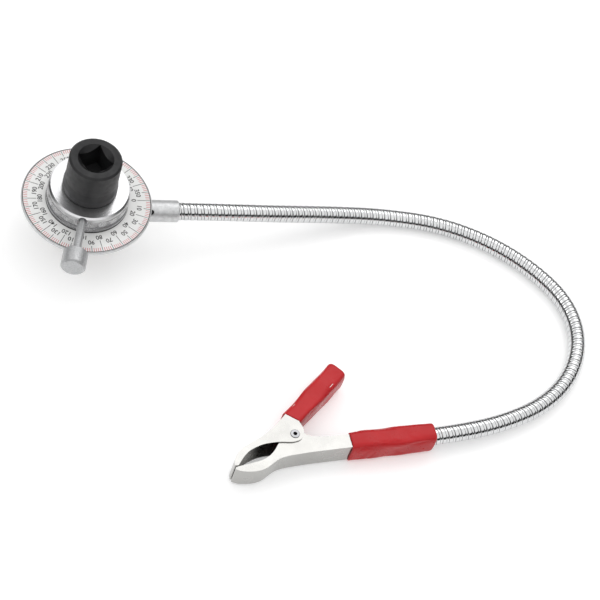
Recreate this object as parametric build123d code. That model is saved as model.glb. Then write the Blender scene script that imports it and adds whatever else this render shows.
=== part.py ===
from build123d import *
import math
import os

# Torque angle gauge: a graduated dial on a square-drive spindle, a pointer ring that is locked
# with a knob, and a flexible metal arm that ends in a spring clamp. Millimetres.
# +Z is the drive axis, z = 0 the end face of the male square, and the arm leaves along +X,
# which is also the direction of the dial's 0 mark.

# ---- driving dimensions: drive spindle ----
SQUARE_SIZE = 19.05             # 3/4 inch square drive, across flats
MALE_UNDER = 0.15               # the male square is this much smaller
FEMALE_OVER = 0.15              # the female square is this much larger
SQUARE_TURN = 27.0              # degrees from +X to a flat's normal
MALE_LENGTH = 22.0
SHAFT_D = 28.0
HEAD_Z = 64.2
HEAD_D = 41.4
HEAD_TAPER_Z = 69.5             # the head narrows over a short smooth taper
HEAD_TAPER_END = 76.0
HEAD_TOP_D = 39.7
TOP_Z = 97.6
FEMALE_DEPTH = 21.0
LEAD_IN_R = 13.5                # circle of the conical lead-in at the top face
LEAD_IN_DEPTH = 3.6
BALL_D = 5.0
BALL_Z = 11.0
BALL_PROUD = 0.95
BALL_HOLE_BOTTOM = 2.6
BALL_CENTRE = (SQUARE_SIZE - MALE_UNDER) / 2 + BALL_PROUD - BALL_D / 2
RETAINER_Z = 25.2
RETAINER_T = 1.3
RUN_GAP = 0.04                  # radial clearance of a running fit

# ---- driving dimensions: dial and its body ----
BODY_BOTTOM = 27.7
BODY_D = 60.0
BUSH_D = 32.0
BUSH_LENGTH = 7.0
PLATE_Z = 44.0
PLATE_D = 99.2
PLATE_T = 3.3
RIM_W = 0.7
FACE_RECESS = 0.4
FACE_T = 0.45
FACE_TOP = PLATE_Z + PLATE_T - FACE_RECESS + FACE_T
COLLAR_D = 62.0
COLLAR_TOP = 52.3
SCREW_CIRCLE = 48.0
SCREW_D = 4.0
SCREW_COUNT = 4

# ---- driving dimensions: pointer ring and its lock screw ----
RING_BOTTOM = 52.8
RING_TOP = 63.8
RING_D = 61.5
RING_CHAMFER = 1.3
ROD_ANGLE = -104.0              # degrees from +X, seen from above
ROD_D = 6.2
ROD_Z = 58.4
ROD_START = 17.0
KNOB_START = 58.5
KNOB_LENGTH = 14.5
KNOB_D = 18.6
PAD_T = 2.6

# ---- driving dimensions: arm ----
ARM_Z = 34.6
ARM_BOSS_D = 22.0
ARM_BOSS_END = 44.0
FERRULE_D = 17.0
FERRULE_END = 72.0
STUD_D = 8.0
HOSE_D = 14.0
HOSE_BORE = 8.2
CORE_D = 8.0
CORE_BORE = 4.0
HOSE_START = 56.0
FLOOR_Z = HOSE_D / 2 + 0.1       # height of the arm's axis where it lies down

# ---- driving dimensions: spring clamp, lying on its side ----
CLAMP_Z = 11.2                  # height of the clamp's middle plane
HANDLE_N = -10.35               # the lower handle's axis, across from the rivet
LOWER_HALF = 9.2                # half the lower jaw's outer width
UPPER_HALF = 10.35              # half the upper jaw's outer width
SHEET_T = 1.0
SHARP_TURN = 48.0               # a larger turn of an outline is a corner
CORNER_R = 0.8
GENTLE_R = 60.0
LEVER_ANGLE = 39.1              # degrees from the lower handle's axis to the upper lever
LEVER_S = 2.5
LEVER_N = 14.7
LEVER_LENGTH = 57.0
CHEEK_H = 11.0                  # depth of both handles' channels
LOWER_TOP = HANDLE_N + CHEEK_H / 2
LOWER_WEB = HANDLE_N - CHEEK_H / 2
SLEEVE_T = 1.6                  # vinyl over the lower handle's cheeks
SLEEVE_EDGE_T = 2.2             # vinyl over its web and its open side
UPPER_SLEEVE_T = 0.85
UPPER_SLEEVE_EDGE_T = 1.8
UPPER_SLEEVE_CAP = 2.4
LOWER_SLEEVE_START = 41.0
CHANNEL_END = 86.0              # where the lower jaw's channel stops
HOSE_END_S = 90.0               # where the arm's end stands on the lower handle's axis
LOWER_SLEEVE_END = 108.6
RIVET_D = 5.6
RIVET_BORE = 3.0
RIVET_HEAD_D = 7.2
RIVET_HEAD_T = 0.55
SPRING_WIRE = 1.8
SPRING_R = 5.4
SPRING_TURNS = 4

# the arm's route, from its socket in the ferrule to its end in the clamp's lower handle
ROUTE = [
    (HOSE_START, 0, ARM_Z),
    (100, 0, ARM_Z),
    (150, 5, 27),
    (198, 14, 15.5),
    (244, 19, 7.6),
    (291, 13, FLOOR_Z),
    (331, -4, FLOOR_Z),
    (363, -29, FLOOR_Z),
    (387, -61, FLOOR_Z),
    (391, -98, FLOOR_Z),
    (376, -133, FLOOR_Z),
    (348, -159, 7.8),
    (311, -175.5, 9.5),
    (270, -185.5, CLAMP_Z),
    (232, -190, CLAMP_Z),
]

# the clamp hangs on the arm's end: its lower handle carries on the last run
ARM_TIP = Vector(*ROUTE[-1])
CLAMP_DIR = (Vector(*ROUTE[-2]) - ARM_TIP).normalized()
CLAMP_SIDE = Vector(-CLAMP_DIR.Y, CLAMP_DIR.X, 0)
RIVET = ARM_TIP - CLAMP_DIR * HOSE_END_S - CLAMP_SIDE * HANDLE_N
CLAMP_TURN = math.degrees(math.atan2(CLAMP_DIR.Y, CLAMP_DIR.X))


def clamp_point(s, n, z=CLAMP_Z):
    """Point of the clamp: s along the lower handle, n across it, both from the rivet."""
    return Vector(RIVET.X, RIVET.Y, z) + CLAMP_DIR * s + CLAMP_SIDE * n


def disc(outer_d, bottom, top, bore=0.0):
    """Round plate or ring about the drive axis."""
    solid = Pos(0, 0, (bottom + top) / 2) * Cylinder(outer_d / 2, top - bottom)
    if bore:
        solid -= Pos(0, 0, (bottom + top) / 2) * Cylinder(bore / 2, top - bottom + 2)
    return solid


def radial(angle, start, end, diameter, height):
    """Round bar that points away from the drive axis at the given angle and height."""
    middle = (start + end) / 2
    bar = Pos(middle, 0, height) * Rot(0, 90, 0) * Cylinder(diameter / 2, end - start)
    return Rot(0, 0, angle) * bar


def edges_at(solid, height):
    """Edges that lie wholly in the plane z = height."""
    return [e for e in solid.edges() if all(abs(v.Z - height) < 1e-4 for v in e.vertices())
            and abs(e.center().Z - height) < 1e-4]


# ---- drive spindle ----
def drive_spindle():
    male = SQUARE_SIZE - MALE_UNDER
    square = Pos(0, 0, MALE_LENGTH / 2) * Box(male, male, MALE_LENGTH)
    square = chamfer(edges_at(square, 0), 1.2)
    shaft = disc(SHAFT_D, MALE_LENGTH, HEAD_Z)
    shaft = chamfer(edges_at(shaft, MALE_LENGTH), 0.8)
    head = disc(HEAD_D, HEAD_Z, HEAD_TAPER_Z)
    taper = Cone(HEAD_D / 2, HEAD_TOP_D / 2, HEAD_TAPER_END - HEAD_TAPER_Z)
    head += Pos(0, 0, (HEAD_TAPER_Z + HEAD_TAPER_END) / 2) * taper
    head_top = disc(HEAD_TOP_D, HEAD_TAPER_END, TOP_Z)
    head_top = chamfer(edges_at(head_top, TOP_Z), 1.4)
    spindle = Rot(0, 0, SQUARE_TURN) * square + shaft + head + head_top
    female = SQUARE_SIZE + FEMALE_OVER
    socket = Pos(0, 0, TOP_Z - FEMALE_DEPTH / 2) * Box(female, female, FEMALE_DEPTH)
    spindle -= Rot(0, 0, SQUARE_TURN) * socket
    lead_in = Cone(LEAD_IN_R - LEAD_IN_DEPTH, LEAD_IN_R, LEAD_IN_DEPTH)
    spindle -= Pos(0, 0, TOP_Z - LEAD_IN_DEPTH / 2) * lead_in
    groove = disc(SHAFT_D + 2, RETAINER_Z, RETAINER_Z + RETAINER_T + 0.1, SHAFT_D - 2.4)
    spindle -= groove
    spindle -= radial(SQUARE_TURN - 90, BALL_HOLE_BOTTOM, male, BALL_D + 0.3, BALL_Z)
    return spindle


def detent_ball():
    return Rot(0, 0, SQUARE_TURN - 90) * Pos(BALL_CENTRE, 0, BALL_Z) * Sphere(BALL_D / 2)


def detent_spring():
    end = BALL_CENTRE - BALL_D / 2 - 0.02
    bar = radial(SQUARE_TURN - 90, BALL_HOLE_BOTTOM, end, 3.8, BALL_Z)
    return bar - radial(SQUARE_TURN - 90, BALL_HOLE_BOTTOM - 1, end + 1, 2.4, BALL_Z)


def retaining_ring():
    ring = disc(33.0, RETAINER_Z + 0.05, RETAINER_Z + 0.05 + RETAINER_T, SHAFT_D - 2.3)
    gap = Pos(16, 0, RETAINER_Z) * Box(14, 5, 6)
    return ring - Rot(0, 0, 200) * gap


def thrust_washer():
    bottom = RETAINER_Z + 0.05 + RETAINER_T
    return disc(40.0, bottom, BODY_BOTTOM - 0.1, SHAFT_D + 0.2)


def friction_washer():
    return disc(36.0, RING_TOP + 0.05, HEAD_Z, SHAFT_D + 0.2)


# ---- dial and its body ----
def screw_places():
    return [Rot(0, 0, 45 + 360 / SCREW_COUNT * i) for i in range(SCREW_COUNT)]


def screw_holes(solid):
    for place in screw_places():
        hole = Pos(SCREW_CIRCLE / 2, 0, 0) * Cylinder(SCREW_D / 2, 102)
        solid -= place * hole
    return solid


def bearing_body():
    body = disc(BODY_D, BODY_BOTTOM, PLATE_Z)
    body = fillet(edges_at(body, BODY_BOTTOM), 2.0)
    body += radial(0, 20, ARM_BOSS_END, ARM_BOSS_D, ARM_Z) & disc(120, BODY_BOTTOM, PLATE_Z)
    body -= disc(BUSH_D, BODY_BOTTOM - 1, PLATE_Z + 1)
    body -= radial(0, 12, ARM_BOSS_END + 1, STUD_D, ARM_Z)
    body = screw_holes(body)
    for place in screw_places():
        seat = Cylinder(3.6, 8)
        body -= place * Pos(SCREW_CIRCLE / 2, 0, BODY_BOTTOM) * seat
    return body


def bush(bottom):
    return disc(BUSH_D, bottom, bottom + BUSH_LENGTH, SHAFT_D + 2 * RUN_GAP)


def lower_bush():
    return bush(BODY_BOTTOM)


def upper_bush():
    return bush(PLATE_Z - BUSH_LENGTH)


def dial_plate():
    plate = disc(PLATE_D, PLATE_Z, PLATE_Z + PLATE_T, SHAFT_D + 4)
    plate = chamfer(plate.edges().filter_by(GeomType.CIRCLE).sort_by(SortBy.RADIUS)[-2:], 0.5)
    plate -= disc(PLATE_D - 2 * RIM_W, PLATE_Z + PLATE_T - FACE_RECESS, PLATE_Z + PLATE_T + 2)
    return screw_holes(plate)


def dial_face():
    bottom = PLATE_Z + PLATE_T - FACE_RECESS
    return screw_holes(disc(PLATE_D - 2 * RIM_W - 0.2, bottom, bottom + FACE_T, SHAFT_D + 4))


def dial_collar():
    collar = disc(COLLAR_D, FACE_TOP, COLLAR_TOP, SHAFT_D + 4)
    collar = fillet(collar.edges().filter_by(GeomType.CIRCLE).sort_by(SortBy.RADIUS)[-2:], 0.8)
    for place in screw_places():
        collar -= place * Pos(SCREW_CIRCLE / 2, 0, FACE_TOP) * Cylinder(SCREW_D / 2, 7)
    return collar


def body_screw():
    seat = BODY_BOTTOM + 4
    shank = disc(SCREW_D, seat, FACE_TOP + 3.4)
    head = disc(7.0, BODY_BOTTOM + 0.3, seat)
    key = disc(2.8, BODY_BOTTOM - 1, BODY_BOTTOM + 2.2)
    return shank + head - key


def body_screws():
    return Compound(children=[p * Pos(SCREW_CIRCLE / 2, 0, 0) * body_screw() for p in screw_places()])


# ---- pointer ring and its lock screw ----
def pointer_ring():
    ring = disc(RING_D, RING_BOTTOM, RING_TOP)
    ring = chamfer(edges_at(ring, RING_TOP), RING_CHAMFER)
    ring = chamfer(edges_at(ring, RING_BOTTOM), 0.5)
    ring -= disc(SHAFT_D + 2 * RUN_GAP, RING_BOTTOM - 1, RING_TOP + 1)
    ring -= radial(ROD_ANGLE, 10, RING_D, ROD_D + 0.1, ROD_Z)
    ring -= radial(ROD_ANGLE, RING_D / 2 - 2.2, RING_D, ROD_D + 3.6, ROD_Z)
    return ring


def pointer_rod():
    return radial(ROD_ANGLE, ROD_START, KNOB_START + 8, ROD_D, ROD_Z)


def pointer_knob():
    knob = Cylinder(KNOB_D / 2, KNOB_LENGTH)
    knob = chamfer(knob.edges().filter_by(GeomType.CIRCLE), 1.2)
    knob -= Pos(0, 0, -KNOB_LENGTH / 2 + 4) * Cylinder(ROD_D / 2, 8)
    knob = Pos(KNOB_START + KNOB_LENGTH / 2, 0, ROD_Z) * Rot(0, 90, 0) * knob
    return Rot(0, 0, ROD_ANGLE) * knob


def clamp_pad():
    return radial(ROD_ANGLE, ROD_START - PAD_T, ROD_START - 0.02, ROD_D - 0.4, ROD_Z)


# ---- arm ----
def arm_ferrule():
    ferrule = radial(0, ARM_BOSS_END, FERRULE_END, FERRULE_D, ARM_Z)
    ferrule = chamfer(ferrule.edges().filter_by(GeomType.CIRCLE), 0.8)
    ferrule -= radial(0, HOSE_START, FERRULE_END + 1, HOSE_D, ARM_Z)
    ferrule -= radial(0, ARM_BOSS_END - 1, HOSE_START - 2, STUD_D, ARM_Z)
    return ferrule - set_screw_place() * Pos(0, 0, 6) * Cylinder(2.0, 6)


def set_screw_place():
    return Pos(50, 0, ARM_Z) * Rot(45, 0, 0)


def ferrule_set_screw():
    screw = Pos(0, 0, 5.5) * Cylinder(2.0, 3.0)
    screw -= Pos(0, 0, 6.5) * extrude(RegularPolygon(1.0, 6), 2)
    return set_screw_place() * screw


def ferrule_stud():
    return radial(0, BUSH_D / 2 + 0.5, HOSE_START - 2, STUD_D, ARM_Z)


def hose_path():
    """Straight runs joined by tangent arcs, each arc as large as its two runs allow."""
    points = [Vector(*p) for p in ROUTE]
    runs = [b - a for a, b in zip(points, points[1:])]
    radii = []
    for before, after in zip(runs, runs[1:]):
        half_turn = math.radians(before.get_angle(after)) / 2
        radii.append(0.45 * min(before.length, after.length) / math.tan(half_turn))
    return FilletPolyline(*points, radius=radii)


def swept_tube(path, outer_d, bore_d):
    section = Circle(outer_d / 2) - Circle(bore_d / 2)
    return sweep(Plane(origin=path @ 0, z_dir=path % 0) * section, path=path)


def handle_adapter():
    """Turned plug that joins the arm to the lower handle."""
    flange = Cylinder(HOSE_D / 2 - 0.2, HOSE_END_S - CHANNEL_END - 0.6)
    shank_length = CHANNEL_END - 62
    plug = Pos(0, 0, -(HOSE_END_S - CHANNEL_END - 0.6) / 2) * flange
    plug += Pos(0, 0, -(HOSE_END_S - CHANNEL_END) - shank_length / 2 + 1) * Cylinder(4.1, shank_length + 2)
    plug = handle_frame(HOSE_END_S) * plug
    return plug - adapter_pin()


def adapter_pin():
    return Pos(clamp_point(70, HANDLE_N)) * Cylinder(2.0, 2 * LOWER_HALF)


def handle_frame(s):
    """Place on the lower handle's axis, local z pointing away from the jaws."""
    plane = Plane(origin=clamp_point(s, HANDLE_N), x_dir=CLAMP_SIDE, z_dir=CLAMP_DIR)
    return plane.location


# ---- spring clamp ----
def rounded(points):
    """Closed outline: gentle turns become long curves, sharp corners small ones."""
    corners = [Vector(*p) for p in points]
    radii = []
    for i, corner in enumerate(corners):
        before = corner - corners[i - 1]
        after = corners[(i + 1) % len(corners)] - corner
        turn = before.get_angle(after)
        limit = 0.45 * min(before.length, after.length) / math.tan(math.radians(turn) / 2)
        radii.append(min(limit, CORNER_R if turn > SHARP_TURN else GENTLE_R))
    return FilletPolyline(*corners, radius=radii, close=True)


def outline(points, half_width):
    """Plate of the clamp with the given outline, centred on the clamp's middle plane."""
    flat = [clamp_point(s, n, CLAMP_Z - half_width) for s, n in points]
    return extrude(make_face(rounded(flat)), 2 * half_width, dir=(0, 0, 1))


def channel(shape_points, cavity_points, half_width):
    """Pressed channel: a plate with its inside cut away to leave the web and two cheeks."""
    return outline(shape_points, half_width) - outline(cavity_points, half_width - SHEET_T)


def lever_point(along, across):
    """Point of the upper lever, along and across its own axis."""
    turn = math.radians(LEVER_ANGLE)
    s = LEVER_S + along * math.cos(turn) - across * math.sin(turn)
    n = LEVER_N + along * math.sin(turn) + across * math.cos(turn)
    return (s, n)


def clamp_lower_jaw():
    web_side = [(-51, -22.4), (-46, -24.8), (-39, -26), (-32, -25.8), (-26.5, -24), (-21, -20.6),
                (-15.5, -17.8), (-8, -16.6), (10, LOWER_WEB), (CHANNEL_END, LOWER_WEB)]
    open_side = [(CHANNEL_END, LOWER_TOP), (42.5, LOWER_TOP), (24, -4.7), (13, -3.2), (6.6, 0.6), (5.4, 4.6),
                 (1.6, 6.4), (-4, 5.4), (-7.5, 0.5), (-13.5, -5), (-18.5, -11.4), (-24, -15.6), (-30, -17.8), (-38, -19), (-50, -20.6)]
    cut_web = [(-60, -19), (-52, -20.8), (-46, -23.6), (-39, -24.9), (-32.4, -24.7), (-27, -23), (-21.4, -19.6),
               (-15.8, -16.7), (-8, -15.5), (10, LOWER_WEB + SHEET_T), (CHANNEL_END + 5, LOWER_WEB + SHEET_T)]
    cut_open = [(CHANNEL_END + 5, 20), (-20, 20)]
    jaw = channel(web_side + open_side, cut_web + cut_open, LOWER_HALF)
    return jaw - rivet_hole() - adapter_pin()


def clamp_upper_jaw():
    half = CHEEK_H / 2
    web_side = [lever_point(LEVER_LENGTH, half), lever_point(-2, half), (-12, 9.6), (-23, 1.8), (-33, -2.4),
                (-42, -6.4), (-47.6, -11.2), (-50.4, -16.2), (-51, -20)]
    open_side = [(-48.2, -20), (-42.5, -13.4), (-37, -9), (-26.5, -5.2), (-13, -4.8), (-3, -6.6), (4, -5.2),
                 (7.4, 0.5), (7.4, 5), lever_point(-0.4, -half), lever_point(LEVER_LENGTH, -half)]
    inner = half - SHEET_T
    cut_web = [lever_point(LEVER_LENGTH + 5, inner), lever_point(-1.6, inner), (-11.5, 8.3), (-22.6, 0.7),
               (-32.6, -3.5), (-41.4, -7.3), (-46.8, -11.8), (-49.4, -16.5), (-50, -22)]
    cut_open = [(-20, -30), (40, -10), lever_point(LEVER_LENGTH + 5, -30)]
    jaw = channel(web_side + open_side, cut_web + cut_open, UPPER_HALF)
    return jaw - rivet_hole()


def rivet_hole():
    return Pos(clamp_point(0, 0)) * Cylinder(RIVET_D / 2 + 0.05, 40)


def clamp_rivet():
    """Tubular rivet with a rolled head on each cheek."""
    rivet = Cylinder(RIVET_D / 2, 2 * (UPPER_HALF + RIVET_HEAD_T))
    for side in (-1, 1):
        head = Cylinder(RIVET_HEAD_D / 2, RIVET_HEAD_T)
        head = fillet(edges_at(head, side * RIVET_HEAD_T / 2), 0.4)
        rivet += Pos(0, 0, side * (UPPER_HALF + RIVET_HEAD_T / 2)) * head
    rivet -= Cylinder(RIVET_BORE / 2, 3 * UPPER_HALF)
    return Pos(clamp_point(0, 0)) * rivet


def clamp_spring():
    """Torsion spring round the rivet, one leg in each handle."""
    half_height = SPRING_TURNS * (SPRING_WIRE + 0.15) / 2
    helix = Helix(SPRING_WIRE + 0.15, 2 * half_height, SPRING_R)
    wire = Plane(origin=helix @ 0, z_dir=helix % 0) * Circle(SPRING_WIRE / 2)
    coil = Pos(clamp_point(0, 0)) * Pos(0, 0, -half_height) * sweep(wire, path=helix, is_frenet=True)
    legs = [((2, -SPRING_R), (30, HANDLE_N - 2.4), -half_height),
            ((-2.5, SPRING_R - 0.6), lever_point(26, 3.4), half_height)]
    for (s0, n0), (s1, n1), dz in legs:
        start = clamp_point(s0, n0) + Vector(0, 0, dz)
        end = clamp_point(s1, n1) + Vector(0, 0, dz)
        leg = Solid.make_cylinder(SPRING_WIRE / 2, (end - start).length, Plane(origin=start, z_dir=end - start))
        coil += leg
    return coil


def sleeve_section(height, width):
    return RectangleRounded(height, width, 3.0)


def lower_handle_sleeve():
    """Thick vinyl grip over the lower handle, closed round the end of the arm."""
    channel_length = CHANNEL_END - LOWER_SLEEVE_START
    full_length = LOWER_SLEEVE_END - LOWER_SLEEVE_START
    section = sleeve_section(CHEEK_H + 2 * SLEEVE_EDGE_T, 2 * (LOWER_HALF + SLEEVE_T))
    grip = extrude(section, full_length)
    grip = fillet(edges_at(grip, full_length), 1.8)
    grip -= extrude(Rectangle(CHEEK_H, 2 * LOWER_HALF), channel_length)
    grip -= Pos(0, 0, channel_length) * extrude(Circle(HOSE_D / 2), full_length)
    return handle_frame(LOWER_SLEEVE_START) * grip


def upper_handle_sleeve():
    """Thick vinyl grip over the upper handle, closed at its end."""
    full_length = LEVER_LENGTH + UPPER_SLEEVE_CAP
    s, n = lever_point(0, 0)
    turn = math.radians(CLAMP_TURN + LEVER_ANGLE)
    along = Vector(math.cos(turn), math.sin(turn), 0)
    across = Vector(-math.sin(turn), math.cos(turn), 0)
    section = sleeve_section(CHEEK_H + 2 * UPPER_SLEEVE_EDGE_T, 2 * (UPPER_HALF + UPPER_SLEEVE_T))
    grip = extrude(section, full_length)
    grip = fillet(edges_at(grip, full_length), 1.2)
    grip -= extrude(Rectangle(CHEEK_H, 2 * UPPER_HALF), LEVER_LENGTH)
    return Plane(origin=clamp_point(s, n), x_dir=across, z_dir=along).location * grip


path = hose_path()
nodes = {
    "drive_spindle": drive_spindle(),
    "detent_ball": detent_ball(),
    "detent_spring": detent_spring(),
    "retaining_ring": retaining_ring(),
    "thrust_washer": thrust_washer(),
    "friction_washer": friction_washer(),
    "bearing_body": bearing_body(),
    "lower_bush": lower_bush(),
    "upper_bush": upper_bush(),
    "dial_plate": dial_plate(),
    "dial_face": dial_face(),
    "dial_collar": dial_collar(),
    "body_screws": body_screws(),
    "pointer_ring": pointer_ring(),
    "pointer_rod": pointer_rod(),
    "pointer_knob": pointer_knob(),
    "clamp_pad": clamp_pad(),
    "arm_ferrule": arm_ferrule(),
    "ferrule_set_screw": ferrule_set_screw(),
    "ferrule_stud": ferrule_stud(),
    "gooseneck_hose": swept_tube(path, HOSE_D, HOSE_BORE),
    "gooseneck_core": swept_tube(path, CORE_D, CORE_BORE),
    "handle_adapter": handle_adapter(),
    "adapter_pin": adapter_pin(),
    "clamp_lower_jaw": clamp_lower_jaw(),
    "clamp_upper_jaw": clamp_upper_jaw(),
    "clamp_rivet": clamp_rivet(),
    "clamp_spring": clamp_spring(),
    "lower_handle_sleeve": lower_handle_sleeve(),
    "upper_handle_sleeve": upper_handle_sleeve(),
}

os.makedirs("parts", exist_ok=True)
for name, solid in nodes.items():
    export_step(solid, f"parts/{name}.step")
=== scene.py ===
import math

import bmesh
import bpy
from mathutils import Matrix, Vector, noise


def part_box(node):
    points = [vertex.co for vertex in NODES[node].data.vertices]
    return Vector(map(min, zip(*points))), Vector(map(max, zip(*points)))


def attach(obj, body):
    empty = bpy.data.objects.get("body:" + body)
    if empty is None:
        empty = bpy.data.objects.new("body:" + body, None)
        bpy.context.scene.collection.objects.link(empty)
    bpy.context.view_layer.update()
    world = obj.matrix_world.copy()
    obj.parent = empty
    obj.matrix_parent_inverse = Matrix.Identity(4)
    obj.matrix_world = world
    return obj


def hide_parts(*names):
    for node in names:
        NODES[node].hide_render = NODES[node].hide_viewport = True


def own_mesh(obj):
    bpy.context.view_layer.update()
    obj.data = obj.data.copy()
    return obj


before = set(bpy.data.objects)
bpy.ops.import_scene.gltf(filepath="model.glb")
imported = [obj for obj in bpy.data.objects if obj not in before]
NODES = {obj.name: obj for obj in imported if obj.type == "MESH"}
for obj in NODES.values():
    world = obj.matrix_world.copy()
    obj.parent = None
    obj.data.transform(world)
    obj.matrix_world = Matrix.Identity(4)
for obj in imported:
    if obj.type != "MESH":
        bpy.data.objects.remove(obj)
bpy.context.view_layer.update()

# ---- sizes, in metres, from the frame ----
FACE_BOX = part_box("dial_face")
FACE_TOP = FACE_BOX[1].z
FACE_R = (FACE_BOX[1].x - FACE_BOX[0].x) / 2
RING_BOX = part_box("pointer_ring")
RING_R = (RING_BOX[1].x - RING_BOX[0].x) / 2
COLLAR_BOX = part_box("dial_collar")
COLLAR_R = (COLLAR_BOX[1].x - COLLAR_BOX[0].x) / 2
ARM_Z = (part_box("arm_ferrule")[0].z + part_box("arm_ferrule")[1].z) / 2
RIVET_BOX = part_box("clamp_rivet")
RIVET = (RIVET_BOX[0] + RIVET_BOX[1]) / 2
CLAMP_Z = (RIVET_BOX[0].z + RIVET_BOX[1].z) / 2

# ---- sizes that the frame doesn't give, in metres ----
ROD_ANGLE = math.radians(-104.0)  # the pointer rod's direction, from +X
HOSE_R = 0.007
FLOOR_Z = HOSE_R + 0.0001         # the arm's axis where it lies on the floor

# the arm's route: the same points as in the design
ROUTE = [
    (0.056, 0, ARM_Z),
    (0.100, 0, ARM_Z),
    (0.150, 0.005, 0.027),
    (0.198, 0.014, 0.0155),
    (0.244, 0.019, 0.0076),
    (0.291, 0.013, FLOOR_Z),
    (0.331, -0.004, FLOOR_Z),
    (0.363, -0.029, FLOOR_Z),
    (0.387, -0.061, FLOOR_Z),
    (0.391, -0.098, FLOOR_Z),
    (0.376, -0.133, FLOOR_Z),
    (0.348, -0.159, 0.0078),
    (0.311, -0.1755, 0.0095),
    (0.270, -0.1855, CLAMP_Z),
    (0.232, -0.190, CLAMP_Z),
]

ARM_TIP = Vector(ROUTE[-1])
CLAMP_DIR = (Vector(ROUTE[-2]) - ARM_TIP).normalized()
CLAMP_SIDE = Vector((-CLAMP_DIR.y, CLAMP_DIR.x, 0))
UP = Vector((0, 0, 1))


# ---- materials ----
MIX_FACTOR, MIX_A, MIX_B, MIX_RESULT = 0, 6, 7, 2  # sockets of a mix node that mixes colours


class Shader:
    """A principled material with short calls for its procedural nodes."""

    def __init__(self, name, color, roughness, metallic=0.0, **sockets):
        self.material = bpy.data.materials.new(name)
        self.material.use_nodes = True
        self.tree = self.material.node_tree
        self.bsdf = self.tree.nodes["Principled BSDF"]
        self.bsdf.inputs["Base Color"].default_value = (*color, 1)
        self.bsdf.inputs["Roughness"].default_value = roughness
        self.bsdf.inputs["Metallic"].default_value = metallic
        for socket, value in sockets.items():
            self.bsdf.inputs[socket.replace("_", " ")].default_value = value
        self.coords = self.tree.nodes.new("ShaderNodeTexCoord").outputs["Object"]

    def node(self, kind, **inputs):
        made = self.tree.nodes.new(kind)
        for name, value in inputs.items():
            socket = made.inputs[name.replace("_", " ")]
            if isinstance(value, bpy.types.NodeSocket):
                self.tree.links.new(value, socket)
            else:
                socket.default_value = value
        return made

    def noise(self, scale, detail=3.0, stretch=(1, 1, 1)):
        mapping = self.node("ShaderNodeMapping", Vector=self.coords, Scale=stretch)
        texture = self.node("ShaderNodeTexNoise", Vector=mapping.outputs[0], Scale=scale,
                            Detail=detail)
        return texture.outputs["Fac"]

    def rings(self, scale, axis="Z"):
        """Fine rings round a row axis through the origin, as a lathe leaves them."""
        wave = self.node("ShaderNodeTexWave", Vector=self.coords, Scale=scale, Distortion=0.6,
                         Detail=2.0)
        wave.wave_type = "RINGS"
        wave.rings_direction = axis
        return wave.outputs["Fac"]

    def map(self, value, low, high, start=0.3, end=0.7):
        ramp = self.node("ShaderNodeMapRange", Value=value, From_Min=start, From_Max=end,
                         To_Min=low, To_Max=high)
        return ramp.outputs[0]

    def mix(self, factor, a, b):
        blend = self.tree.nodes.new("ShaderNodeMix")
        blend.data_type = "RGBA"
        self.tree.links.new(factor, blend.inputs[MIX_FACTOR])
        blend.inputs[MIX_A].default_value = (*a, 1)
        blend.inputs[MIX_B].default_value = (*b, 1)
        return blend.outputs[MIX_RESULT]

    def color(self, output):
        self.tree.links.new(output, self.bsdf.inputs["Base Color"])

    def roughness(self, output):
        self.tree.links.new(output, self.bsdf.inputs["Roughness"])

    def bump(self, height, distance, strength=1.0):
        bump = self.node("ShaderNodeBump", Height=height, Distance=distance, Strength=strength)
        current = self.bsdf.inputs["Normal"]
        if current.is_linked:
            self.tree.links.new(current.links[0].from_socket, bump.inputs["Normal"])
        self.tree.links.new(bump.outputs[0], current)


def black_oxide():
    s = Shader("black_oxide", (0.022, 0.022, 0.023), 0.42, 0.35)
    s.color(s.mix(s.map(s.noise(90, 5), 0, 1), (0.011, 0.011, 0.012), (0.025, 0.025, 0.026)))
    s.roughness(s.map(s.noise(260, 4), 0.38, 0.54))
    s.bump(s.noise(2600, 2), 0.00004, 0.4)
    return s.material


def turned_steel():
    s = Shader("turned_steel", (0.72, 0.72, 0.73), 0.22, 1.0, Anisotropic=0.8)
    tangent = s.tree.nodes.new("ShaderNodeTangent")
    tangent.direction_type = "RADIAL"
    tangent.axis = "Z"
    s.tree.links.new(tangent.outputs[0], s.bsdf.inputs["Tangent"])
    s.roughness(s.map(s.rings(700), 0.18, 0.30))
    s.bump(s.rings(1500), 0.00001, 0.3)
    return s.material


def polished_steel():
    s = Shader("polished_steel", (0.55, 0.55, 0.56), 0.16, 1.0)
    s.color(s.mix(s.map(s.noise(90, 3), 0, 1), (0.50, 0.50, 0.51), (0.60, 0.60, 0.61)))
    s.roughness(s.map(s.noise(140, 3, (1, 1, 12)), 0.12, 0.24))
    s.bump(s.noise(900, 2, (1, 1, 0.05)), 0.00001, 0.3)
    return s.material


def rib_steel():
    s = Shader("rib_steel", (0.76, 0.76, 0.77), 0.24, 1.0)
    s.color(s.mix(s.map(s.noise(200, 3), 0, 1), (0.70, 0.70, 0.71), (0.82, 0.82, 0.83)))
    s.roughness(s.map(s.noise(300, 3, (1, 1, 0.2)), 0.18, 0.32))
    return s.material


def satin_aluminium():
    s = Shader("satin_aluminium", (0.60, 0.605, 0.61), 0.5, 1.0)
    s.color(s.mix(s.map(s.noise(420, 4), 0, 1), (0.56, 0.565, 0.57), (0.70, 0.705, 0.71)))
    s.roughness(s.map(s.noise(700, 4), 0.44, 0.6))
    s.bump(s.noise(2600, 3), 0.00003, 0.5)
    return s.material


def chrome():
    s = Shader("chrome", (0.66, 0.665, 0.67), 0.08, 1.0)
    s.color(s.mix(s.map(s.noise(35, 3), 0, 1), (0.62, 0.625, 0.63), (0.70, 0.705, 0.71)))
    s.roughness(s.map(s.noise(60, 3), 0.06, 0.14))
    return s.material


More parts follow.
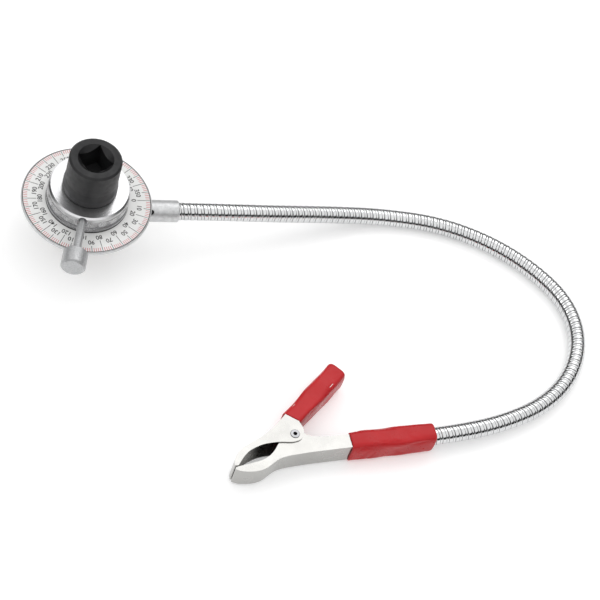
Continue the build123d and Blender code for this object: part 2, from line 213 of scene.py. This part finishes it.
# painted shade: a dark colour for grooves, knurl valleys and the gap under the pointer ring, where
# shade falls
def groove_dark():
    s = Shader("groove_dark", (0.08, 0.08, 0.082), 0.4, 0.8)
    s.color(s.mix(s.map(s.noise(200, 3), 0, 1), (0.05, 0.05, 0.052), (0.13, 0.13, 0.13)))
    s.roughness(s.map(s.noise(400, 3), 0.32, 0.55))
    return s.material


def nickel_sheet():
    s = Shader("nickel_sheet", (0.44, 0.435, 0.42), 0.24, 1.0)
    s.color(s.mix(s.map(s.noise(30, 4), 0, 1), (0.41, 0.405, 0.39), (0.47, 0.465, 0.45)))
    s.roughness(s.map(s.noise(120, 4), 0.20, 0.30))
    s.bump(s.noise(160, 2, (1, 1, 0.4)), 0.00002, 0.25)
    return s.material


def plain_steel():
    s = Shader("plain_steel", (0.6, 0.6, 0.61), 0.3, 1.0)
    s.roughness(s.map(s.noise(300, 4), 0.22, 0.42))
    s.bump(s.noise(2000, 2), 0.00003, 0.4)
    return s.material


def brass():
    s = Shader("brass", (0.72, 0.52, 0.22), 0.3, 1.0)
    s.color(s.mix(s.map(s.noise(160, 4), 0, 1), (0.62, 0.43, 0.17), (0.78, 0.58, 0.27)))
    s.roughness(s.map(s.noise(400, 3), 0.22, 0.4))
    return s.material


def dial_white():
    s = Shader("dial_white", (0.80, 0.80, 0.79), 0.42, 0.0)
    s.color(s.mix(s.map(s.noise(70, 5), 0, 1), (0.77, 0.77, 0.76), (0.83, 0.83, 0.82)))
    s.roughness(s.map(s.noise(300, 3), 0.38, 0.5))
    s.bump(s.noise(1800, 2), 0.00002, 0.3)
    return s.material


def ink(name, dark, light):
    s = Shader(name, dark, 0.5)
    s.color(s.mix(s.map(s.noise(1200, 3), 0, 1), dark, light))
    s.roughness(s.map(s.noise(600, 2), 0.42, 0.58))
    return s.material


def red_vinyl():
    s = Shader("red_vinyl", (0.50, 0.012, 0.016), 0.3, 0.0, Specular_IOR_Level=0.22)
    s.color(s.mix(s.map(s.noise(28, 4), 0, 1), (0.42, 0.012, 0.016), (0.54, 0.020, 0.024)))
    s.roughness(s.map(s.noise(110, 4), 0.24, 0.38))
    s.bump(s.noise(160, 2), 0.00005, 0.3)
    return s.material


def knob_aluminium():
    s = Shader("knob_aluminium", (0.48, 0.485, 0.49), 0.5, 1.0)
    s.color(s.mix(s.map(s.noise(900, 4), 0, 1), (0.41, 0.415, 0.42), (0.55, 0.555, 0.56)))
    s.roughness(s.map(s.noise(1100, 4), 0.42, 0.62))
    s.bump(s.noise(3000, 3), 0.00005, 0.6)
    return s.material


def dark_steel():
    s = Shader("dark_steel", (0.30, 0.30, 0.31), 0.2, 1.0)
    s.color(s.mix(s.map(s.noise(80, 3), 0, 1), (0.25, 0.25, 0.26), (0.35, 0.35, 0.36)))
    s.roughness(s.map(s.noise(300, 3, (1, 1, 0.1)), 0.14, 0.28))
    return s.material


MATERIALS = {
    "black": black_oxide(),
    "turned": turned_steel(),
    "polished": polished_steel(),
    "ribs": rib_steel(),
    "satin": satin_aluminium(),
    "chrome": chrome(),
    "groove": groove_dark(),
    "nickel": nickel_sheet(),
    "steel": plain_steel(),
    "brass": brass(),
    "white": dial_white(),
    "ink": ink("ink_black", (0.02, 0.02, 0.02), (0.05, 0.05, 0.05)),
    "red_ink": ink("ink_red", (0.52, 0.05, 0.07), (0.64, 0.10, 0.12)),
    "vinyl": red_vinyl(),
    "dark_steel": dark_steel(),
    "knob": knob_aluminium(),
}

NODE_LOOKS = {
    "drive_spindle": "black",
    "detent_ball": "chrome",
    "detent_spring": "steel",
    "retaining_ring": "steel",
    "thrust_washer": "brass",
    "friction_washer": "steel",
    "bearing_body": "satin",
    "lower_bush": "brass",
    "upper_bush": "brass",
    "dial_plate": "satin",
    "dial_face": "white",
    "dial_collar": "dark_steel",
    "body_screws": "steel",
    "pointer_ring": "turned",
    "pointer_rod": "knob",
    "pointer_knob": "knob",
    "clamp_pad": "brass",
    "arm_ferrule": "satin",
    "ferrule_set_screw": "black",
    "ferrule_stud": "steel",
    "gooseneck_core": "steel",
    "handle_adapter": "steel",
    "adapter_pin": "steel",
    "clamp_lower_jaw": "nickel",
    "clamp_upper_jaw": "nickel",
    "clamp_rivet": "dark_steel",
    "clamp_spring": "steel",
    "lower_handle_sleeve": "vinyl",
    "upper_handle_sleeve": "vinyl",
}


def paint(obj, look):
    obj.data.materials.clear()
    obj.data.materials.append(MATERIALS[look])


EDGE_ANGLE = math.radians(35)     # gentler bends than this stay as they are


def soften(obj, width, segments=3):
    """Small rounded edges, as on any real machined or pressed edge."""
    bevel = obj.modifiers.new("edges", "BEVEL")
    bevel.width = width
    bevel.segments = segments
    bevel.limit_method = "ANGLE"
    bevel.angle_limit = EDGE_ANGLE
    bevel.harden_normals = True


EDGE_WIDTHS = {
    "clamp_lower_jaw": 0.00045,
    "clamp_upper_jaw": 0.00045,
    "pointer_knob": 0.0003,
    "arm_ferrule": 0.0003,
    "pointer_rod": 0.0002,
    "clamp_rivet": 0.0001,
}


def dress_nodes():
    for name, look in NODE_LOOKS.items():
        paint(NODES[name], look)
    for name, width in EDGE_WIDTHS.items():
        soften(NODES[name], width)


# ---- mesh helpers ----
def new_piece(name, mesh, look, body):
    obj = bpy.data.objects.new(name, mesh)
    bpy.context.scene.collection.objects.link(obj)
    paint(obj, look)
    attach(obj, body)
    return obj


def mesh_of(name, verts, faces, smooth=True):
    mesh = bpy.data.meshes.new(name)
    mesh.from_pydata([tuple(v) for v in verts], [], faces)
    mesh.update()
    for polygon in mesh.polygons:
        polygon.use_smooth = smooth
    return mesh


def curve_line(points, resolution):
    """Points along the smooth NURBS line that has the given control points."""
    curve = bpy.data.curves.new("line", "CURVE")
    curve.dimensions = "3D"
    spline = curve.splines.new("NURBS")
    spline.points.add(len(points) - 1)
    for target, point in zip(spline.points, points):
        target.co = (*point, 1)
    spline.order_u = 3
    spline.use_endpoint_u = True
    spline.resolution_u = resolution
    holder = bpy.data.objects.new("line", curve)
    mesh = bpy.data.meshes.new_from_object(holder)
    line = [v.co.copy() for v in mesh.vertices]
    bpy.data.objects.remove(holder)
    return line


class Line:
    """A curve in space that gives its place and two side directions at any distance."""

    def __init__(self, points):
        self.points = points
        self.at = [0.0]
        for a, b in zip(points, points[1:]):
            self.at.append(self.at[-1] + (b - a).length)
        self.length = self.at[-1]
        tangents = [(b - a).normalized() for a, b in zip(points, points[1:])]
        tangents.append(tangents[-1])
        side = UP.cross(tangents[0]).normalized()
        self.tangents, self.sides = [], []
        for i, tangent in enumerate(tangents):
            middle = (tangents[max(i - 1, 0)] + tangent).normalized()
            side = (side - middle * side.dot(middle)).normalized()
            self.tangents.append(middle)
            self.sides.append(side)
        self.index = 0

    def frame(self, distance):
        distance = min(max(distance, 0), self.length)
        while self.index < len(self.points) - 2 and self.at[self.index + 1] < distance:
            self.index += 1
        while self.index > 0 and self.at[self.index] > distance:
            self.index -= 1
        i = self.index
        part = (distance - self.at[i]) / (self.at[i + 1] - self.at[i])
        place = self.points[i].lerp(self.points[i + 1], part)
        tangent = self.tangents[i].lerp(self.tangents[i + 1], part).normalized()
        side = self.sides[i].lerp(self.sides[i + 1], part)
        side = (side - tangent * side.dot(tangent)).normalized()
        return place, side, tangent.cross(side)


# ---- gooseneck arm ----
GOOSENECK_PITCH = 0.00527
GOOSENECK_GROOVE = 0.0007
TURN_STEPS = 36
LINE_STEPS = 24                   # steps between two of the route's points
# one turn in section: a flat-crowned wire, then a rounded one, as (place across the turn, depth
# below the crown) in shares of the pitch and of the groove
WINDING_SECTION = [
    (-0.50, 1.0), (-0.485, 0.6), (-0.465, 0.15), (-0.42, 0.03), (-0.30, 0.0), (-0.10, 0.0),
    (0.00, 0.03), (0.045, 0.15), (0.065, 0.6), (0.08, 1.0), (0.095, 0.75), (0.13, 0.42),
    (0.20, 0.2), (0.29, 0.12), (0.38, 0.2), (0.45, 0.42), (0.485, 0.75), (0.50, 1.0),
]
SHADED_GROOVE_FACES = (0, 8, 9, 16)      # strips of the section that lie in a groove; they are painted dark as shade


def gooseneck():
    """Flexible arm: two wires wound side by side in one long helix, with grooves between them."""
    line = Line(curve_line(ROUTE, LINE_STEPS))
    turns = int(line.length / GOOSENECK_PITCH) - 1
    start = (line.length - turns * GOOSENECK_PITCH) / 2
    verts, faces = [], []
    across = len(WINDING_SECTION)
    for step in range(turns * TURN_STEPS + 1):
        angle = 2 * math.pi * step / TURN_STEPS
        centre = start + GOOSENECK_PITCH * step / TURN_STEPS
        for offset, depth in WINDING_SECTION:
            place, side, up = line.frame(centre + offset * GOOSENECK_PITCH)
            radius = HOSE_R - depth * GOOSENECK_GROOVE
            verts.append(place + side * (radius * math.cos(angle))
                         + up * (radius * math.sin(angle)))
        if step:
            row = (step - 1) * across
            for k in range(across - 1):
                faces.append((row + k, row + across + k, row + across + k + 1, row + k + 1))
    mesh = mesh_of("gooseneck_winding", verts, faces)
    piece = new_piece("gooseneck_winding", mesh, "chrome", "dial_body")
    # the groove faces take the dark groove material: painted shade in the grooves between the wires
    piece.data.materials.append(MATERIALS["groove"])
    for i, polygon in enumerate(piece.data.polygons):
        polygon.material_index = 1 if i % (across - 1) in SHADED_GROOVE_FACES else 0
    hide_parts("gooseneck_hose")


# ---- dial markings ----
INK_T = 0.00004
EDGE_LINE = 0.0006
EDGE_GAP = 0.0001                 # between the marks and the line round the edge
TICK_OUTER = FACE_R - EDGE_LINE - EDGE_GAP
TICK_LONG = 0.0097
TICK_SHORT = 0.0050
TICK_WIDTH = 0.00042
RED_LENGTH = 0.0031
RED_WIDTH = 0.00042
NUMBER_OUTER_R = 0.0397
NUMBER_INNER_R = 0.0355
NUMBER_SIZE = 0.0050
NUMBER_WEIGHT = 0.00008           # swells the digits' strokes
LONG_STEP = 20                    # degrees between long marks, which carry the inner numbers
SHORT_STEP = 10
RED_STEP = 2


def bar(angle, start, end, width, bottom):
    """Corners and faces of a thin flat bar on the dial, along a radius."""
    along = Vector((math.cos(angle), math.sin(angle), 0))
    across = Vector((-along.y, along.x, 0)) * (width / 2)
    corners = [along * start - across, along * end - across,
               along * end + across, along * start + across]
    low = [c + Vector((0, 0, bottom)) for c in corners]
    high = [c + Vector((0, 0, bottom + INK_T)) for c in corners]
    faces = [(3, 2, 1, 0), (4, 5, 6, 7)]
    faces += [(0, 1, 5, 4), (1, 2, 6, 5), (2, 3, 7, 6), (3, 0, 4, 7)]
    return low + high, faces


def bars(name, specs, look):
    verts, faces = [], []
    for spec in specs:
        corners, sides = bar(*spec)
        faces += [tuple(i + len(verts) for i in side) for side in sides]
        verts += corners
    piece = new_piece(name, mesh_of(name, verts, faces, smooth=False), look, "dial_body")


def mark_angle(degrees):
    """Direction of a mark on the dial: 0 along the arm, numbers running clockwise."""
    return -math.radians(degrees)


def ticks():
    black, red = [], []
    for degrees in range(0, 360, RED_STEP):
        angle = mark_angle(degrees)
        if degrees % LONG_STEP == 0:
            black.append((angle, TICK_OUTER - TICK_LONG, TICK_OUTER, TICK_WIDTH, FACE_TOP))
        elif degrees % SHORT_STEP == 0:
            black.append((angle, TICK_OUTER - TICK_SHORT, TICK_OUTER, TICK_WIDTH, FACE_TOP))
        else:
            red.append((angle, TICK_OUTER - RED_LENGTH, TICK_OUTER, RED_WIDTH, FACE_TOP))
    bars("dial_marks_black", black, "ink")
    bars("dial_marks_red", red, "red_ink")


def numbers():
    """Numbers every ten degrees, their tops outward, on two circles in turn."""
    joined = bmesh.new()
    for degrees in range(0, 360, SHORT_STEP):
        text = bpy.data.curves.new("number", "FONT")
        text.body = str(degrees)
        text.size = NUMBER_SIZE
        text.align_x = "CENTER"
        text.align_y = "CENTER"
        text.extrude = INK_T / 2
        text.offset = NUMBER_WEIGHT
        holder = bpy.data.objects.new("number", text)
        mesh = bpy.data.meshes.new_from_object(holder)
        bpy.data.objects.remove(holder)
        radius = NUMBER_INNER_R if degrees % LONG_STEP == 0 else NUMBER_OUTER_R
        turn = Matrix.Rotation(mark_angle(degrees) - math.pi / 2, 4, "Z")
        mesh.transform(turn @ Matrix.Translation((0, radius, FACE_TOP + INK_T / 2)))
        joined.from_mesh(mesh)
        bpy.data.meshes.remove(mesh)
    mesh = bpy.data.meshes.new("dial_numbers")
    joined.to_mesh(mesh)
    joined.free()
    piece = new_piece("dial_numbers", mesh, "ink", "dial_body")


def flat_ring(name, inner, outer, bottom, height, look, body, steps=180):
    """Thin ring round the drive axis."""
    section = ((inner, bottom), (outer, bottom), (outer, bottom + height), (inner, bottom + height))
    verts, faces = [], []
    for i in range(steps):
        angle = 2 * math.pi * i / steps
        c, s = math.cos(angle), math.sin(angle)
        for radius, z in section:
            verts.append((radius * c, radius * s, z))
    for i in range(steps):
        a, b = 4 * i, 4 * ((i + 1) % steps)
        for k in range(4):
            faces.append((a + k, b + k, b + (k + 1) % 4, a + (k + 1) % 4))
    piece = new_piece(name, mesh_of(name, verts, faces, smooth=False), look, body)
    return piece


def dial():
    ticks()
    numbers()
    flat_ring("dial_edge_line", FACE_R - EDGE_LINE, FACE_R, FACE_TOP, INK_T, "ink", "dial_body")


# ---- knurled bands ----
KNURL_COUNT = 220
KNURL_HEIGHT = 0.00028
KNURL_VALLEY = 0.00003
# one rib in section, as (share of the pitch, height)
KNURL_SECTION = ((0.0, KNURL_VALLEY), (0.22, KNURL_VALLEY), (0.34, KNURL_HEIGHT),
                 (0.88, KNURL_HEIGHT), (1.0, KNURL_VALLEY))
RING_KNURL_FOOT = 0.0006          # plain edge under the ring's knurl
RING_KNURL_HEAD = 0.0046          # plain edge and chamfer above it
RING_KNURL_GAP = 0.0056           # half the break in the knurl where the rod enters
COLLAR_KNURL_EDGE = 0.0009
SHADE_RING_INNER = 0.0016               # the painted shade ring's two edges, in from the pointer ring's outside
SHADE_RING_OUTER = 0.0006
SHADE_RING_SINK = 0.0002                # how far the painted shade ring goes into the collar
SHADE_RING_HEIGHT = 0.00065
FOOT_SHADOW_HALF = 0.0004


def knurl(name, radius, low, high, looks, body, gap=0.0):
    """Fine straight ribs round a turned band, broken where the rod enters, with painted shade in
    each valley.
    """
    pitch = 2 * math.pi / KNURL_COUNT
    half_gap = math.asin(gap / radius)
    levels = ((low, 0.0), (low + KNURL_HEIGHT, 1.0), (high - KNURL_HEIGHT, 1.0), (high, 0.0))
    across = len(KNURL_SECTION)
    verts, faces, valley_shade = [], [], []
    for i in range(KNURL_COUNT):
        angle = pitch * i
        if abs(math.remainder(angle + pitch / 2 - ROD_ANGLE, 2 * math.pi)) < half_gap:
            continue
        first = len(verts)
        for z, share in levels:
            for turn, lift in KNURL_SECTION:
                r = radius + KNURL_VALLEY + (lift - KNURL_VALLEY) * share
                a = angle + pitch * turn
                verts.append((r * math.cos(a), r * math.sin(a), z))
        for row in range(len(levels) - 1):
            for k in range(across - 1):
                a = first + across * row + k
                valley_shade.append(k == 0)
                faces.append((a, a + 1, a + across + 1, a + across))
    # valley faces get the second, darker look: painted shade
    piece = new_piece(name, mesh_of(name, verts, faces, smooth=False), looks[0], body)
    piece.data.materials.append(MATERIALS[looks[1]])
    for polygon, valley in zip(piece.data.polygons, valley_shade):
        polygon.material_index = int(valley)


def ring_details():
    # the second look of each knurl is the painted shade in its valleys
    knurl("pointer_ring_knurl", RING_R, RING_BOX[0].z + RING_KNURL_FOOT,
          RING_BOX[1].z - RING_KNURL_HEAD, ("ribs", "dark_steel"), "pointer",
          RING_KNURL_GAP)
    knurl("dial_collar_knurl", COLLAR_R, COLLAR_BOX[0].z + COLLAR_KNURL_EDGE,
          COLLAR_BOX[1].z - COLLAR_KNURL_EDGE, ("polished", "groove"), "dial_body")
    # a dark ring in the gap between the pointer ring and the collar: painted shade, not a part
    flat_ring("collar_gap_painted_shade", RING_R - SHADE_RING_INNER, RING_R - SHADE_RING_OUTER,
              COLLAR_BOX[1].z - SHADE_RING_SINK, SHADE_RING_HEIGHT, "groove", "dial_body")
    # a black line on the dial round the collar's foot: painted contact shadow
    flat_ring("collar_foot_painted_shadow", COLLAR_R - FOOT_SHADOW_HALF, COLLAR_R + FOOT_SHADOW_HALF, FACE_TOP,
              INK_T, "ink", "dial_body")


# ---- vinyl sleeves ----
SLEEVE_ROUND = 84                 # points round a sleeve
SLEEVE_STEPS = 64                 # rings along a sleeve's outside
LIP_STEPS = 5
SLEEVE_FLOOR = 0.0001             # the sleeves rest flat on what the tool lies on
SLANT_REACH = 0.02                # how far a slanted mouth is felt along a sleeve
SLEEVE_DEPTH = 0.0076             # half the depth of both sleeves at the mouth

# lower sleeve: half sizes, and distances along the handle from its mouth
LOWER_START = -0.049              # its mouth, from the arm's end
LOWER_LENGTH = 0.0676
LOWER_CHANNEL = 0.045             # where the jaw's channel ends inside it
LOWER_WIDTH = 0.01060
LOWER_MOUTH_R = 0.0011
LOWER_END_R = 0.0018
LOWER_LIPS = 0.0031               # length that the two rounded ends take
LOWER_ARM_HOLE = 0.00705
LOWER_BORE = (0.0056, 0.0093)     # half depth and half width round the channel

# upper sleeve
LEVER_TURN = math.radians(39.1)   # from the lower handle to the upper lever
LEVER_FOOT = (0.0025, 0.0147)     # along and across the lower handle, from the rivet
UPPER_LENGTH = 0.0594
UPPER_WIDTH = 0.01100
UPPER_MOUTH_R = 0.0009
UPPER_END_R = 0.0026
UPPER_LIPS = 0.0039
UPPER_SLANT = 0.003


def ripple(u, angle, seed):
    """Gentle swell and a few soft creases of pulled-on vinyl, from about -1 to 1."""
    c, t = math.cos(angle), math.sin(angle)
    swell = noise.noise(Vector((u * 55, 1.3 * c, 1.3 * t + seed)))
    crease = noise.noise(Vector((u * 95 + 1.5 * c, 2.4 * c + seed, 2.4 * t)))
    return 1.5 * swell - 1.3 * max(0.0, 1 - abs(crease) * 5) * abs(swell)


def sleeve(name, node, body, origin, along, rings, seed, through, slant=0.0):
    """Closed vinyl skin through rings of (distance, half depth, half width, squareness, ripple).

    A sleeve that the handle goes through is closed on itself; one with a closed end is filled.
    """
    across = UP.cross(along)
    verts = []
    for distance, depth, width, square, wave in rings:
        for k in range(SLEEVE_ROUND):
            angle = 2 * math.pi * k / SLEEVE_ROUND
            c, t = math.cos(angle), math.sin(angle)
            x = math.copysign(abs(c) ** (2 / square), c) * depth
            y = math.copysign(abs(t) ** (2 / square), t) * width
            push = wave * ripple(distance, angle, seed)
            x += push * c
            y += push * t * 0.5
            lean = -slant * (0.5 + x / (2 * depth)) * max(0.0, 1 - distance / SLANT_REACH)
            point = origin + along * (distance + lean) + across * x + UP * y
            point.z = max(point.z, SLEEVE_FLOOR)
            verts.append(point)
    faces = []
    rows = len(rings)
    for r in range(rows if through else rows - 1):
        row, after = r * SLEEVE_ROUND, (r + 1) % rows * SLEEVE_ROUND
        for k in range(SLEEVE_ROUND):
            k_next = (k + 1) % SLEEVE_ROUND
            faces.append((row + k, row + k_next, after + k_next, after + k))
    mesh = mesh_of(name, verts, faces)
    work = bmesh.new()
    work.from_mesh(mesh)
    if not through:
        bmesh.ops.holes_fill(work, edges=[e for e in work.edges if e.is_boundary], sides=0)
    bmesh.ops.recalc_face_normals(work, faces=work.faces)
    work.to_mesh(mesh)
    work.free()
    piece = new_piece(name, mesh, "vinyl", body)
    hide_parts(node)


def lip(distance, depth, width, radius, square, wave, inwards):
    """Rings over a sleeve's rounded edge; inwards is +1 at its start and -1 at its end."""
    rings = []
    for step in range(LIP_STEPS + 1):
        turn = math.pi / 2 * step / LIP_STEPS
        inset = radius * (1 - math.sin(turn))
        place = distance + inwards * radius * (1 - math.cos(turn))
        rings.append((place, depth - inset, width - inset, square, wave * math.sin(turn)))
    return rings if inwards > 0 else rings[::-1]


def lower_sleeve():
    """Skin from the jaw end to the arm end, then back inside round the arm and the channel."""
    rings = lip(0.0, SLEEVE_DEPTH, LOWER_WIDTH, LOWER_MOUTH_R, 5.0, 0.0003, 1)
    for i in range(1, SLEEVE_STEPS):
        u = i / SLEEVE_STEPS
        depth = SLEEVE_DEPTH + 0.0006 * math.sin(math.pi * u) + 0.0002 * u
        wave = 0.0003 + 0.0008 * math.sin(math.pi * u)
        distance = LOWER_MOUTH_R + u * (LOWER_LENGTH - LOWER_LIPS)
        rings.append((distance, depth, LOWER_WIDTH, 4.6, wave))
    rings += lip(LOWER_LENGTH, 0.0078, 0.0105, LOWER_END_R, 4.4, 0.0003, -1)
    rings += [
        (LOWER_LENGTH - 0.0003, 0.0072, 0.0072, 2, 0),
        (LOWER_LENGTH - 0.012, LOWER_ARM_HOLE, LOWER_ARM_HOLE, 2, 0),
        (LOWER_CHANNEL + 0.001, LOWER_ARM_HOLE, LOWER_ARM_HOLE, 2, 0),
        (LOWER_CHANNEL, *LOWER_BORE, 12, 0),
        (0.0006, *LOWER_BORE, 12, 0),
        (0.0, 0.0059, 0.0096, 9, 0),
    ]
    mouth = ARM_TIP + CLAMP_DIR * LOWER_START
    sleeve("lower_sleeve_skin", "lower_handle_sleeve", "dial_body", mouth, CLAMP_DIR, rings, 3.1,
           True)


def upper_sleeve():
    """Skin from just inside the jaw end, over its mouth and on to the closed end."""
    along = Matrix.Rotation(LEVER_TURN, 3, "Z") @ CLAMP_DIR
    foot = RIVET + CLAMP_DIR * LEVER_FOOT[0] + CLAMP_SIDE * LEVER_FOOT[1]
    rings = [(0.004, 0.0057, 0.01040, 12, 0), (0.0002, 0.0058, 0.0105, 12, 0)]
    rings += lip(0.0, SLEEVE_DEPTH, 0.01105, UPPER_MOUTH_R, 6, 0.0002, 1)
    for i in range(1, SLEEVE_STEPS):
        u = i / SLEEVE_STEPS
        depth = SLEEVE_DEPTH + 0.0008 * u
        wave = 0.0002 + 0.0008 * math.sin(math.pi * u * 0.85)
        distance = UPPER_MOUTH_R + u * (UPPER_LENGTH - UPPER_LIPS)
        rings.append((distance, depth, UPPER_WIDTH, 5.6 - 1.2 * u, wave))
    rings += lip(UPPER_LENGTH, 0.0083, 0.01095, UPPER_END_R, 4.2, 0.0004, -1)
    rings.append((UPPER_LENGTH, 0.0030, 0.0055, 3, 0))
    sleeve("upper_sleeve_skin", "upper_handle_sleeve", "upper_jaw", foot, along, rings, 8.4,
           False, UPPER_SLANT)


def sleeves():
    lower_sleeve()
    upper_sleeve()


# ---- springs ----
def wire(name, points, radius, body, sides=10):
    """Round wire with closed ends along a line of points."""
    line = Line(points)
    verts, faces = [], []
    for place, tangent, side in zip(line.points, line.tangents, line.sides):
        other = tangent.cross(side)
        for k in range(sides):
            angle = 2 * math.pi * k / sides
            verts.append(place + side * (radius * math.cos(angle))
                         + other * (radius * math.sin(angle)))
    for row in range(len(points) - 1):
        for k in range(sides):
            a, b = row * sides + k, row * sides + (k + 1) % sides
            faces.append((a, b, b + sides, a + sides))
    faces.append(tuple(range(sides))[::-1])
    faces.append(tuple(range(len(verts) - sides, len(verts))))
    piece = new_piece(name, mesh_of(name, verts, faces), "steel", body)
    return piece


def coil(centre, first, second, axis, radius, height, start, turn, steps):
    """Points of a helix; start and turn are in degrees, first and second span its circle."""
    points = []
    for i in range(steps + 1):
        share = i / steps
        angle = math.radians(start + turn * share)
        outward = first * math.cos(angle) + second * math.sin(angle)
        points.append(centre + outward * radius + axis * (height * (share - 0.5)))
    return points


SPRING_WIRE_R = 0.0009
SPRING_R = 0.0054
SPRING_HEIGHT = 0.0084
SPRING_START = -104.0             # where the lower leg meets the coil
SPRING_TURN = -1555.0             # degrees, over all turns of the coil
SPRING_STEPS = 150
LOWER_LEG = (0.030, -0.01275)     # ends of the legs, along and across the lower handle
UPPER_LEG = (0.0205, 0.0337)
BALL_DIR = Vector((0.45399, -0.89101, 0))  # the ball's slide, outward
BALL_SPRING_START = 0.0026
BALL_SPRING_END = 0.00513
BALL_Z = 0.011
BALL_SPRING_R = 0.0016
BALL_SPRING_WIRE_R = 0.00024
BALL_SPRING_TURN = 1440
BALL_SPRING_STEPS = 96


def clamp_spring():
    """Coil and lower leg stay with the lower jaw; the upper leg moves with the upper one."""
    half = UP * (SPRING_HEIGHT / 2)
    points = coil(RIVET, CLAMP_DIR, CLAMP_SIDE, UP, SPRING_R, SPRING_HEIGHT, SPRING_START,
                  SPRING_TURN, SPRING_STEPS)
    lower_end = RIVET + CLAMP_DIR * LOWER_LEG[0] + CLAMP_SIDE * LOWER_LEG[1] - half
    upper_end = RIVET + CLAMP_DIR * UPPER_LEG[0] + CLAMP_SIDE * UPPER_LEG[1] + half
    body = wire("clamp_spring_coil", [lower_end] + points, SPRING_WIRE_R, "dial_body")
    leg = wire("clamp_spring_upper_leg", [points[-1], upper_end], SPRING_WIRE_R, "upper_jaw")
    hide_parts("clamp_spring")
    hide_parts("clamp_spring")


def ball_spring():
    """Small spring behind the detent ball."""
    length = BALL_SPRING_END - BALL_SPRING_START
    middle = BALL_DIR * ((BALL_SPRING_START + BALL_SPRING_END) / 2) + UP * BALL_Z
    points = coil(middle, UP, BALL_DIR.cross(UP), BALL_DIR, BALL_SPRING_R, length, 0,
                  BALL_SPRING_TURN, BALL_SPRING_STEPS)
    piece = wire("ball_spring", points, BALL_SPRING_WIRE_R, "spindle", 8)
    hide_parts("detent_spring")
    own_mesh(piece)


def springs():
    clamp_spring()
    ball_spring()


# ---- stage ----
FLOOR_HALF = 6.0
FLOOR_GLOW = 0.32                 # as on a light table, to keep shadows faint


def floor():
    corners = [(-FLOOR_HALF, -FLOOR_HALF, 0), (FLOOR_HALF, -FLOOR_HALF, 0),
               (FLOOR_HALF, FLOOR_HALF, 0), (-FLOOR_HALF, FLOOR_HALF, 0)]
    mesh = mesh_of("floor", corners, [(0, 1, 2, 3)])
    obj = bpy.data.objects.new("floor", mesh)
    bpy.context.scene.collection.objects.link(obj)
    s = Shader("floor_pale", (0.80, 0.80, 0.80), 0.7, Emission_Color=(1, 1, 1, 1),
               Emission_Strength=FLOOR_GLOW)
    s.color(s.mix(s.map(s.noise(3, 2), 0, 1), (0.79, 0.79, 0.79), (0.81, 0.81, 0.81)))
    obj.data.materials.append(s.material)


def area_light(name, place, target, size, power):
    light = bpy.data.lights.new(name, "AREA")
    light.shape = "RECTANGLE"
    light.size, light.size_y = size
    light.energy = power
    obj = bpy.data.objects.new(name, light)
    obj.location = place
    obj.rotation_mode = "QUATERNION"
    obj.rotation_quaternion = (Vector(target) - Vector(place)).to_track_quat("-Z", "Y")
    bpy.context.scene.collection.objects.link(obj)


HORIZON_TOP = 0.40                # height at which the dim band ends
HORIZON_BLEND = 0.1
HORIZON_LIGHT = 0.04
TENT_LIGHT = 1.12
BACKDROP = 0.9                    # what the camera sees behind the object


def studio_world():
    """A tent of soft light: bright overhead, a dim band round the horizon, pale to the camera."""
    world = bpy.data.worlds.new("studio")
    world.use_nodes = True
    tree = world.node_tree
    background = tree.nodes["Background"]
    background.inputs["Strength"].default_value = 1.0
    height = tree.nodes.new("ShaderNodeSeparateXYZ")
    tree.links.new(tree.nodes.new("ShaderNodeTexCoord").outputs["Generated"], height.inputs[0])
    ramp = tree.nodes.new("ShaderNodeValToRGB")
    stops = ramp.color_ramp.elements
    stops[0].position = HORIZON_TOP
    stops[0].color = (*[HORIZON_LIGHT] * 3, 1)
    stops[1].position = HORIZON_TOP + HORIZON_BLEND
    stops[1].color = (*[TENT_LIGHT] * 3, 1)
    tree.links.new(height.outputs["Z"], ramp.inputs[0])
    seen = tree.nodes.new("ShaderNodeMix")
    seen.data_type = "RGBA"
    seen.inputs[MIX_B].default_value = (*[BACKDROP] * 3, 1)
    tree.links.new(tree.nodes.new("ShaderNodeLightPath").outputs["Is Camera Ray"],
                   seen.inputs[MIX_FACTOR])
    tree.links.new(ramp.outputs[0], seen.inputs[MIX_A])
    tree.links.new(seen.outputs[MIX_RESULT], background.inputs["Color"])
    bpy.context.scene.world = world


LIGHT_TARGET = (0.15, -0.05, 0)   # near the middle of the tool


def lights():
    """The tent, a soft key from behind on the right, a weaker fill from the left; sizes m, W."""
    studio_world()
    area_light("key", (0.75, 0.85, 1.5), LIGHT_TARGET, (1.1, 1.0), 4.6)
    area_light("fill", (-1.1, 0.2, 1.2), LIGHT_TARGET, (0.8, 0.8), 3)
    bpy.context.scene.view_settings.view_transform = "Standard"


CAMERA_PLACE = Vector((-0.233, -0.899, 1.248))
CAMERA_TARGET = Vector((0.1687, -0.0578, 0.0))
CAMERA_ROLL = 21.45               # degrees
CAMERA_LENS = 120.0               # millimetres
CAMERA_SENSOR = 36.0


def camera():
    data = bpy.data.cameras.new("camera")
    data.lens = CAMERA_LENS
    data.sensor_width = CAMERA_SENSOR
    data.clip_end = 20.0
    obj = bpy.data.objects.new("camera", data)
    obj.location = CAMERA_PLACE
    obj.rotation_mode = "QUATERNION"
    look = (CAMERA_TARGET - CAMERA_PLACE).to_track_quat("-Z", "Y")
    roll = Matrix.Rotation(math.radians(CAMERA_ROLL), 3, "Z").to_quaternion()
    obj.rotation_quaternion = look @ roll
    bpy.context.scene.collection.objects.link(obj)
    bpy.context.scene.camera = obj


dress_nodes()
gooseneck()
dial()
ring_details()
sleeves()
springs()
floor()
lights()
camera()
